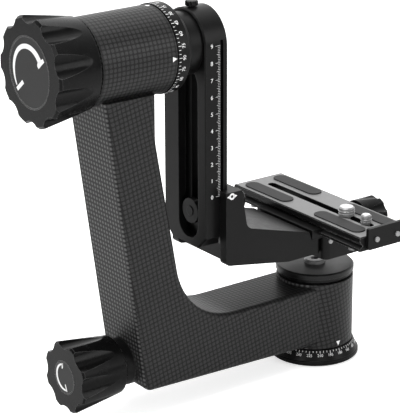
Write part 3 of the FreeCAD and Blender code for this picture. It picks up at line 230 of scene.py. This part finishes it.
def carbon_weave(pitch=2.8 * MM, lean=11.0):
    """Return woven fibre laid flat on each face and around the tilt housing, under satin lacquer, with
    painted light in how strongly the dots show on each side.
    """
    shade = Shader("carbon_weave")
    split_n = shade.add("ShaderNodeSeparateXYZ")
    shade.link(shade.add("ShaderNodeNewGeometry").outputs["Normal"], split_n.inputs[0])
    split_p = shade.add("ShaderNodeSeparateXYZ")
    shade.link(shade.place, split_p.inputs[0])
    x, y, z = split_p.outputs
    size_x, size_y, size_z = (shade.maths("ABSOLUTE", axis) for axis in split_n.outputs)
    facing_x = shade.maths("GREATER_THAN", size_x, shade.maths("MAXIMUM", size_y, size_z))
    facing_z = shade.maths("MULTIPLY", shade.maths("GREATER_THAN", size_z, size_y),
                           shade.maths("SUBTRACT", 1.0, facing_x))

    def choose(factor, when_off, when_on):
        """Return one of two values."""
        off = shade.maths("MULTIPLY", shade.maths("SUBTRACT", 1.0, factor), when_off)
        return shade.maths("ADD", off, shade.maths("MULTIPLY", factor, when_on))

    def around(first, second, radius, band=1.2 * MM):
        """Return whether a point lies near a cylinder, and its length of arc around it."""
        distance = shade.maths("SQRT", shade.maths("ADD", shade.maths("MULTIPLY", first, first),
                                                   shade.maths("MULTIPLY", second, second)))
        near = shade.maths("MULTIPLY", shade.maths("GREATER_THAN", distance, radius - band),
                           shade.maths("LESS_THAN", distance, radius + band))
        return near, shade.maths("MULTIPLY", shade.maths("ARCTAN2", first, second), radius)

    cosine = math.cos(math.radians(lean))
    sine = math.sin(math.radians(lean))
    across_side = shade.maths("ADD", shade.maths("MULTIPLY", x, cosine),
                              shade.maths("MULTIPLY", z, sine))
    along_side = shade.maths("SUBTRACT", shade.maths("MULTIPLY", z, cosine),
                             shade.maths("MULTIPLY", x, sine))
    across = choose(facing_x, across_side, y)
    along = choose(facing_z, choose(facing_x, along_side, z), y)
    above = shade.maths("SUBTRACT", z, TILT_AXIS_Z)
    on_tilt, tilt_arc = around(y, above, TILT_RADIUS)
    off_end = shade.maths("SUBTRACT", 1.0, facing_x)
    on_tilt = shade.maths("MULTIPLY", on_tilt, off_end)
    across = choose(on_tilt, across, x)
    along = choose(on_tilt, along, tilt_arc)
    cell_u = shade.maths("FRACT", shade.maths("MULTIPLY", across, 1.0 / pitch))
    cell_v = shade.maths("FRACT", shade.maths("MULTIPLY", along, 1.0 / pitch))
    hump_u = shade.maths("SINE", shade.maths("MULTIPLY", cell_u, math.pi))
    hump_v = shade.maths("SINE", shade.maths("MULTIPLY", cell_v, math.pi))
    dome = shade.maths("MULTIPLY", hump_u, hump_v)
    # Painted light: faces that point along X show the dots at full contrast and with other thresholds, and
    # other faces at about a quarter, standing in for how light catches the weave on each side.
    dot = shade.ramp(dome, choose(facing_x, 0.10, 0.30), choose(facing_x, 0.60, 0.95), 0.0, 1.0)
    fibres = shade.noise(FIBRE_CELLS, 3.0)
    side_light_contrast = choose(facing_x, 0.24, 1.0)
    tone = shade.maths("ADD", shade.maths("MULTIPLY", dot, side_light_contrast),
                       shade.spread(fibres, -0.08, 0.08))
    shade.feed(shade.surface.inputs["Base Color"], shade.mix(tone, grey(0.004), grey(0.082)))
    shade.feed(shade.surface.inputs["Roughness"], shade.ramp(dot, 0.0, 1.0, 0.52, 0.38))
    shade.surface.inputs["Specular IOR Level"].default_value = 0.15
    shade.surface.inputs["Coat Weight"].default_value = 0.06
    shade.surface.inputs["Coat Roughness"].default_value = 0.30
    shade.bump(dome, 0.30, WEAVE_RELIEF, WEAVE_CORNER)
    return shade.material


def soft(name, value, roughness, cells, strength):
    """Return rubber or moulded plastic with a fine matte texture."""
    shade = Shader(name)
    grain = shade.noise(cells, 3.0)
    cloud = shade.noise(SOFT_CLOUD_CELLS)
    shade.feed(shade.surface.inputs["Base Color"],
               shade.mix(shade.spread(cloud, 0.0, 1.0), grey(value * 0.85),
                         grey(value * 1.15)))
    shade.feed(shade.surface.inputs["Roughness"],
               shade.spread(grain, roughness - 0.06, roughness + 0.06))
    shade.surface.inputs["Specular IOR Level"].default_value = 0.35
    shade.bump(grain, strength, SOFT_RELIEF)
    return shade.material


def paint(name, value):
    """Return printed ink with slight unevenness."""
    shade = Shader(name)
    cloud = shade.noise(INK_CELLS)
    shade.feed(shade.surface.inputs["Base Color"],
               shade.mix(shade.spread(cloud, 0.0, 1.0), grey(value * 0.92), grey(value)))
    shade.surface.inputs["Roughness"].default_value = 0.6
    return shade.material


# In these finishes, a top value paints a lighter top that stands in for light from above, and the corner
# greys are part wear and part painted highlight.
MATERIALS = {
    "carbon": carbon_weave(),
    "black_metal": metal("black_anodised", 0.004, 0.36, worn_and_glint_to=0.11, specular=0.12),
    "knob_metal": metal("knob_anodised", 0.003, 0.24, worn_and_glint_to=0.25, grain=0.12, wear_and_glint=0.6,
                        specular=0.10),
    "grey_inlay": metal("inlay_grey", 0.024, 0.46, worn_and_glint_to=0.35, wear_and_glint=0.9, specular=0.12),
    "cap_grey": metal("cap_grey", 0.006, 0.34, worn_and_glint_to=0.14, wear_and_glint=0.5, top=0.05, specular=0.2),
    "plate_grey": metal("plate_anodised", 0.004, 0.38, worn_and_glint_to=0.40, wear_and_glint=0.8, top=0.21,
                        specular=0.12),
    "steel": metal("steel", 0.24, 0.30, worn_and_glint_to=0.6, metallic=0.4, grain=0.12, top=0.72),
    "bronze": metal("bronze", 0.42, 0.40, worn_and_glint_to=0.5, metallic=1.0, grain=0.15),
    "rubber": soft("rubber", 0.018, 0.72, 2400.0, 0.5),
    "nylon": soft("nylon", 0.62, 0.50, 1600.0, 0.2),
}
INK = paint("white_ink", 0.80)

for item in frame["record"]["subparts"]:
    mesh = NODES[item["node"]].data
    mesh.materials.clear()
    mesh.materials.append(MATERIALS[item["material_slot"]])


def joined(name, parts, body, material):
    """Join small meshes, each with its own placement, into one piece that rides on a body."""
    build = bmesh.new()
    for mesh, place in parts:
        part = mesh.copy()
        part.transform(place)
        build.from_mesh(part)
        bpy.data.meshes.remove(part)
    mesh = bpy.data.meshes.new(name)
    build.to_mesh(mesh)
    build.free()
    mesh.materials.append(material)
    obj = bpy.data.objects.new(name, mesh)
    bpy.context.scene.collection.objects.link(obj)
    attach(obj, body)
    return obj


def tick_mesh(width, height, depth=INK_DEPTH):
    """Return a thin bar that stands in the XY plane, its top edge at the origin."""
    build = bmesh.new()
    bmesh.ops.create_cube(build, size=1.0)
    mesh = bpy.data.meshes.new("tick")
    build.to_mesh(mesh)
    build.free()
    mesh.transform(Matrix.Translation((0, -height / 2, 0)) @ Matrix.Diagonal(
        (width, height, depth, 1.0)))
    return mesh


# Size of a font for numerals of height one.
SIZE_OF_NUMERAL = 1.4


def text_mesh(text, height, depth=INK_DEPTH / 2):
    """Return a numeral centred on the origin in the XY plane."""
    curve = bpy.data.curves.new("numeral", "FONT")
    curve.body = text
    curve.size = height * SIZE_OF_NUMERAL
    curve.align_x = "CENTER"
    curve.align_y = "CENTER"
    curve.extrude = depth
    curve.resolution_u = 3
    obj = bpy.data.objects.new("numeral", curve)
    bpy.context.scene.collection.objects.link(obj)
    bpy.context.view_layer.update()
    mesh = bpy.data.meshes.new_from_object(obj.evaluated_get(
        bpy.context.evaluated_depsgraph_get()))
    bpy.data.objects.remove(obj)
    bpy.data.curves.remove(curve)
    return mesh


def outline_mesh(points, depth=INK_DEPTH):
    """Return a thin flat shape from its outline in the XY plane."""
    build = bmesh.new()
    low = [build.verts.new((x, y, -depth / 2)) for x, y in points]
    high = [build.verts.new((x, y, depth / 2)) for x, y in points]
    build.faces.new(list(reversed(low)))
    build.faces.new(high)
    count = len(points)
    for index in range(count):
        following = (index + 1) % count
        build.faces.new((low[index], low[following], high[following], high[index]))
    mesh = bpy.data.meshes.new("shape")
    build.to_mesh(mesh)
    build.free()
    return mesh


def basis(origin, across, up):
    """Return a placement whose X runs along across and whose Y runs along up."""
    across = Vector(across).normalized()
    out = across.cross(Vector(up)).normalized()
    up = out.cross(across).normalized()
    place = Matrix.Identity(4)
    for row in range(3):
        place[row][0] = across[row]
        place[row][1] = up[row]
        place[row][2] = out[row]
        place[row][3] = origin[row]
    return place


TICK_STEP = 5
TICKS_PER_NUMERAL = 3


def ring_marks(name, body, spot, numbers, tick_width, short_tick, long_tick, numeral):
    """Lay ticks every five degrees and numerals every fifteen around a ring."""
    short = tick_mesh(tick_width, short_tick)
    long = tick_mesh(tick_width, long_tick)
    parts = []
    for step in range(360 // TICK_STEP):
        angle = math.radians(TICK_STEP * step)
        parts.append((long if step % TICKS_PER_NUMERAL == 0 else short, spot(angle, 0.0)))
        if step % TICKS_PER_NUMERAL == 0:
            parts.append((text_mesh(numbers(TICK_STEP * step), numeral), spot(angle, long_tick)))
    return joined(name, parts, body, INK)


TILT_TICK_INSET = 0.3 * MM
TILT_NUMERAL_GAP = 1.6 * MM


def tilt_spot(angle, drop):
    """Return a place on the tilt ring: up points at the housing."""
    out = Vector((0, math.sin(angle), math.cos(angle)))
    shift = 0.0 if drop == 0.0 else drop + TILT_NUMERAL_GAP
    origin = Vector((TILT_LOW[0] + TILT_TICK_INSET + shift, 0, TILT_AXIS_Z)) + out * (TILT_RADIUS + INK_RISE)
    up = Vector((-1, 0, 0))
    return basis(origin, up.cross(out), up)


def folded(degrees):
    """Return the number printed at an angle: it rises to ninety and falls again."""
    turn = degrees % 180
    return str(turn if turn <= 90 else 180 - turn)


ring_marks("tilt_scale", "swing", tilt_spot, folded, tick_width=0.28 * MM, short_tick=1.3 * MM,
           long_tick=2.0 * MM, numeral=2.1 * MM)

PAN_TICK_INSET = 0.25 * MM
PAN_NUMERAL_GAP = 1.5 * MM
PAN_RING_TAPER = 2.7 * MM
PAN_INK_RISE = 0.03 * MM


def pan_spot(angle, drop):
    """Return a place on the conical pan ring: up points along the cone to its top."""
    low_radius = (PAN_RING_HIGH[0] - PAN_RING_LOW[0]) / 2
    top_radius = low_radius - PAN_RING_TAPER
    height = PAN_RING_HIGH[2] - PAN_RING_LOW[2]
    out = Vector((math.sin(angle), math.cos(angle), 0))
    slope = (out * (top_radius - low_radius) + Vector((0, 0, height))).normalized()
    shift = PAN_TICK_INSET if drop == 0.0 else drop + PAN_NUMERAL_GAP
    face = out.cross(Vector((0, 0, 1))).cross(slope).normalized()
    if face.dot(out) < 0:
        face = -face
    top = out * top_radius + Vector((0, 0, PAN_RING_HIGH[2]))
    return basis(top - slope * shift + face * PAN_INK_RISE, slope.cross(face), slope)


ring_marks("pan_scale", "base", pan_spot, str, tick_width=0.26 * MM, short_tick=1.1 * MM,
           long_tick=1.7 * MM, numeral=1.7 * MM)

# Height scale on the swing arm: a tick every millimetre, and a numeral every centimetre.
SCALE_ZERO = BRACKET_HIGH[2] - 3.0 * MM
SCALE_LENGTH = 90
TICK_END_X = -89.05 * MM
NUMERAL_X = -94.9 * MM
TICK_WIDTH = 0.16 * MM
TICK_LONG = 3.2 * MM
TICK_MIDDLE = 2.3 * MM
TICK_SHORT = 1.5 * MM
NUMERAL_HEIGHT = 2.5 * MM
parts = []
for step in range(SCALE_LENGTH + 1):
    height = SCALE_ZERO + step * MM
    length = TICK_SHORT
    if step % 5 == 0:
        length = TICK_MIDDLE
    if step % 10 == 0:
        length = TICK_LONG
        spot = (NUMERAL_X, ARM_LOW[1] - INK_RISE, height)
        parts.append((text_mesh(str(step // 10), NUMERAL_HEIGHT), basis(spot, (1, 0, 0), (0, 0, 1))))
    origin = (TICK_END_X, ARM_LOW[1] - INK_RISE, height)
    parts.append((tick_mesh(TICK_WIDTH, length), basis(origin, (0, 0, -1), (1, 0, 0))))
joined("height_scale", parts, "swing", INK)

# Index marks: triangles on the tilt housing and the pan housing.
TILT_MARK_X = -122.4 * MM
TILT_MARK_RADIUS = 25.53 * MM
PAN_MARK_RADIUS = PAN_HOUSE_RADIUS + 0.05 * MM
PAN_MARK_Z = 10.6 * MM
TRIANGLE = outline_mesh([(-1.5 * MM, 3.0 * MM), (0, 0), (1.5 * MM, 3.0 * MM)])
parts = []
for step in range(4):
    angle = math.radians(90 * step)
    out = Vector((0, math.sin(angle), math.cos(angle)))
    origin = Vector((TILT_MARK_X, 0, TILT_AXIS_Z)) + out * TILT_MARK_RADIUS
    up = Vector((-1, 0, 0))
    parts.append((TRIANGLE, basis(origin, up.cross(out), up)))
origin = Vector((0, -PAN_MARK_RADIUS, PAN_MARK_Z))
parts.append((TRIANGLE, basis(origin, (1, 0, 0), (0, 0, 1))))
joined("index_triangles", parts, "yoke", INK)

# Index mark on the bracket: a ring with a point on each side.
MARK_X = BRACKET_LOW[0] + 4.1 * MM
MARK_Z = SCALE_ZERO + 0.5 * MM
RING_RADIUS = 2.0 * MM
RING_BORE_SHARE = 0.45
TIP_REACH = 3.7 * MM
TIP_FOOT = 1.6 * MM
TIP_HALF_HEIGHT = 1.1 * MM
RING_SIDES = 24
ring_angles = [2 * math.pi * index / RING_SIDES for index in range(RING_SIDES + 1)]
ring_outer = [(RING_RADIUS * math.cos(angle), RING_RADIUS * math.sin(angle)) for angle in ring_angles]
ring_inner = [(x * RING_BORE_SHARE, y * RING_BORE_SHARE) for x, y in reversed(ring_outer)]
mark_face = basis((MARK_X, BRACKET_LOW[1] - INK_RISE, MARK_Z), (1, 0, 0), (0, 0, 1))
parts = [(outline_mesh(ring_outer + ring_inner), mark_face)]
for side in (-1, 1):
    tip = [(side * TIP_FOOT, TIP_HALF_HEIGHT), (side * TIP_REACH, 0), (side * TIP_FOOT, -TIP_HALF_HEIGHT)]
    parts.append((outline_mesh(tip if side < 0 else list(reversed(tip))), mark_face))
joined("bracket_index", parts, "cradle", INK)


def arc_outline(places, steps=12):
    """Return the outline of a band through places of angle, radius and width, in degrees and mm."""
    outer = []
    inner = []
    for first, second in zip(places, places[1:]):
        for step in range(steps + 1):
            share = step / steps
            angle, radius, width = (a + (b - a) * share for a, b in zip(first, second))
            angle = math.radians(angle)
            for line, reach in ((outer, radius + width / 2), (inner, radius - width / 2)):
                line.append((reach * math.cos(angle) * MM, reach * math.sin(angle) * MM))
    return outer + list(reversed(inner))


def polar_outline(corners):
    """Return an outline from corners given as angle and radius, in degrees and mm."""
    return [(radius * math.cos(math.radians(angle)) * MM, radius * math.sin(math.radians(angle)) * MM)
            for angle, radius in corners]


# Curved arrows on the knob inlays. Their X axis points to -Y and their Y axis to +Z.
INLAY_SINK = 0.26 * MM
TILT_BAND = [(216, 16.6, 0.8), (180, 16.0, 2.1), (140, 15.4, 2.5), (104, 14.6, 2.7), (70, 14.0, 3.2),
             (38, 13.6, 3.8)]
TILT_BAR = [(219, 18.2), (226, 18.0), (231, 9.6), (217, 9.5)]
TILT_HEAD = [(40, 11.0), (38, 17.8), (31, 18.0), (24, 10.6), (33, 10.0)]
tilt_face = basis((TILT_INLAY_LOW[0] + INLAY_SINK, 0, TILT_AXIS_Z), (0, -1, 0), (0, 0, 1))
joined("tilt_knob_arrow", [
    (outline_mesh(arc_outline(TILT_BAND)), tilt_face),
    (outline_mesh(polar_outline(TILT_BAR)), tilt_face),
    (outline_mesh(polar_outline(TILT_HEAD)), tilt_face),
], "tilt_lock", INK)
PAN_BAND = [(104, 7.9, 1.0), (150, 8.2, 1.3), (200, 8.2, 1.5), (245, 8.0, 1.4), (284, 7.8, 0.9)]
PAN_HOOK = [(100, 8.6), (110, 8.5), (121, 5.6), (112, 5.4)]
PAN_BAR = [(280, 8.6), (287, 8.5), (281, 4.2), (270, 4.3)]
pan_centre_z = (PAN_INLAY_LOW[2] + PAN_INLAY_HIGH[2]) / 2
pan_face = basis((PAN_INLAY_LOW[0] + INLAY_SINK, 0, pan_centre_z), (0, -1, 0), (0, 0, 1))
joined("pan_knob_arrow", [
    (outline_mesh(arc_outline(PAN_BAND)), pan_face),
    (outline_mesh(polar_outline(PAN_HOOK)), pan_face),
    (outline_mesh(polar_outline(PAN_BAR)), pan_face),
], "pan_lock", INK)


def thread_mesh(radius, pitch, low, high, ridge=0.42 * MM, root=0.15 * MM, flank=0.38, steps=24):
    """Return the helical ridge of a screw thread that stands on the Z axis."""
    build = bmesh.new()
    count = int((high - low) / pitch * steps)
    rows = []
    for step in range(count + 1):
        angle = 2 * math.pi * step / steps
        height = low + pitch * step / steps
        taper = min(1.0, step / steps * 2, (count - step) / steps * 2)
        rows.append([build.verts.new((reach * math.cos(angle), reach * math.sin(angle), height + rise))
                     for reach, rise in ((radius - root, -flank * pitch),
                                         (radius + ridge * taper, 0.0),
                                         (radius - root, flank * pitch))])
    for first, second in zip(rows, rows[1:]):
        for side in range(3):
            following = (side + 1) % 3
            build.faces.new((first[side], second[side], second[following], first[following]))
    build.faces.new(list(reversed(rows[0])))
    build.faces.new(rows[-1])
    bmesh.ops.recalc_face_normals(build, faces=build.faces)
    mesh = bpy.data.meshes.new("thread")
    build.to_mesh(mesh)
    build.free()
    return mesh


# Thread ridges on the two camera screws, from the plate up to the chamfer of each tip.
PLATE_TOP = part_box("lens_plate")[1][2]
THREAD_START = 1.0 * MM
THREAD_END = 1.3 * MM
SCREW_THREADS = (("camera_screw_large", "large_screw", 4.76 * MM, 1.59 * MM),
                 ("camera_screw_small", "small_screw", 3.17 * MM, 1.27 * MM))
for node, body, radius, pitch in SCREW_THREADS:
    low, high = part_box(node)
    place = Matrix.Translation(((low[0] + high[0]) / 2, (low[1] + high[1]) / 2, 0))
    ridge = thread_mesh(radius, pitch, PLATE_TOP + THREAD_START, high[2] - THREAD_END)
    joined(node + "_thread", [(ridge, place)], body, MATERIALS["steel"])

# Stage: a pale floor and a white surround.
FLOOR_REACH = 6.0
FLOOR_DROP = 0.6 * MM
FLOOR_GLOW = (0.10, 0.62)
floor_mesh = bpy.data.meshes.new("floor")
corners = [(x * FLOOR_REACH, y * FLOOR_REACH, 0) for x, y in ((-1, -1), (1, -1), (1, 1), (-1, 1))]
floor_mesh.from_pydata(corners, [], [(0, 1, 2, 3)])
floor = bpy.data.objects.new("floor", floor_mesh)
bpy.context.scene.collection.objects.link(floor)
floor.location = (0, 0, -FLOOR_DROP)
floor_shade = Shader("floor_white")
floor_shade.surface.inputs["Base Color"].default_value = (0.80, 0.80, 0.80, 1)
floor_shade.surface.inputs["Roughness"].default_value = 0.9
floor_shade.surface.inputs["Specular IOR Level"].default_value = 0.0
floor_shade.surface.inputs["Emission Color"].default_value = (1, 1, 1, 1)
floor_path = floor_shade.add("ShaderNodeLightPath")
floor_shade.feed(floor_shade.surface.inputs["Emission Strength"],
                 floor_shade.ramp(floor_path.outputs["Is Camera Ray"], 0.0, 1.0, *FLOOR_GLOW))
floor_mesh.materials.append(floor_shade.material)
floor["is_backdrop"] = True

# The surround is white to the camera, and lights the object most from behind and above.
BRIGHT_SIDE = (0.53, 0.78, 0.33)
FILL_RANGE = {"From Min": -0.1, "From Max": 0.95, "To Min": 0.20, "To Max": 1.7}
world = bpy.data.worlds.new("studio")
bpy.context.scene.world = world
world.use_nodes = True
tree = world.node_tree
tree.nodes.clear()
output = tree.nodes.new("ShaderNodeOutputWorld")
mix = tree.nodes.new("ShaderNodeMixShader")
seen = tree.nodes.new("ShaderNodeBackground")
seen.inputs["Color"].default_value = (1, 1, 1, 1)
seen.inputs["Strength"].default_value = 1.0
fill = tree.nodes.new("ShaderNodeBackground")
fill.inputs["Color"].default_value = (1, 1, 1, 1)
path = tree.nodes.new("ShaderNodeLightPath")
way = tree.nodes.new("ShaderNodeTexCoord")
behind = tree.nodes.new("ShaderNodeVectorMath")
behind.operation = "DOT_PRODUCT"
behind.inputs[1].default_value = BRIGHT_SIDE
spread = tree.nodes.new("ShaderNodeMapRange")
spread.interpolation_type = "SMOOTHSTEP"
for name, value in FILL_RANGE.items():
    spread.inputs[name].default_value = value
tree.links.new(way.outputs["Generated"], behind.inputs[0])
tree.links.new(behind.outputs["Value"], spread.inputs["Value"])
tree.links.new(spread.outputs["Result"], fill.inputs["Strength"])
tree.links.new(path.outputs["Is Camera Ray"], mix.inputs["Fac"])
tree.links.new(fill.outputs[0], mix.inputs[1])
tree.links.new(seen.outputs[0], mix.inputs[2])
tree.links.new(mix.outputs[0], output.inputs["Surface"])


def lamp(name, spot, target, size, power):
    """Add a soft studio lamp, size across and up in metres and power in watts, aimed at a point."""
    data = bpy.data.lights.new(name, "AREA")
    data.shape = "RECTANGLE"
    data.size = size[0]
    data.size_y = size[1]
    data.energy = power
    obj = bpy.data.objects.new(name, data)
    bpy.context.scene.collection.objects.link(obj)
    obj.location = spot
    aim = Vector(target) - Vector(spot)
    obj.rotation_euler = aim.to_track_quat("-Z", "Y").to_euler()
    return obj


CENTRE = (-0.07, 0.0, 0.12)
lamp("top", (-0.2, 0.1, 1.3), CENTRE, (0.9, 0.9), 16.0)
lamp("left", (-1.3, -0.3, 0.55), CENTRE, (0.5, 0.9), 6.5)
lamp("front_strip", (-0.45, -1.4, 0.22), CENTRE, (0.12, 0.6), 5.0)
lamp("front_right", (0.7, -1.2, 0.7), CENTRE, (0.5, 0.9), 7.0)

# The camera follows a fit to the photograph: its focal length is in pixels of the frame's width.
SENSOR_WIDTH = 36.0
FRAME_WIDTH = 400.0
FOCAL_PIXELS = 2041.0
CAMERA_SPOT = Vector((-0.75933, -0.91291, 0.51971))
CAMERA_AIM = Vector((-0.088534, 0.0, 0.114413))
CAMERA_ROLL = math.radians(-0.22)
camera_data = bpy.data.cameras.new("photo_camera")
camera_data.sensor_fit = "HORIZONTAL"
camera_data.sensor_width = SENSOR_WIDTH
camera_data.lens = SENSOR_WIDTH * FOCAL_PIXELS / FRAME_WIDTH
camera_data.clip_end = 50.0
camera = bpy.data.objects.new("photo_camera", camera_data)
bpy.context.scene.collection.objects.link(camera)
camera.location = CAMERA_SPOT
look = (CAMERA_AIM - CAMERA_SPOT).to_track_quat("-Z", "Y").to_matrix()
camera.rotation_euler = (look @ Matrix.Rotation(CAMERA_ROLL, 3, "Z")).to_euler()
bpy.context.scene.camera = camera
bpy.context.scene.view_settings.view_transform = "Standard"

bpy.context.view_layer.update()
low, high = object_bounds()
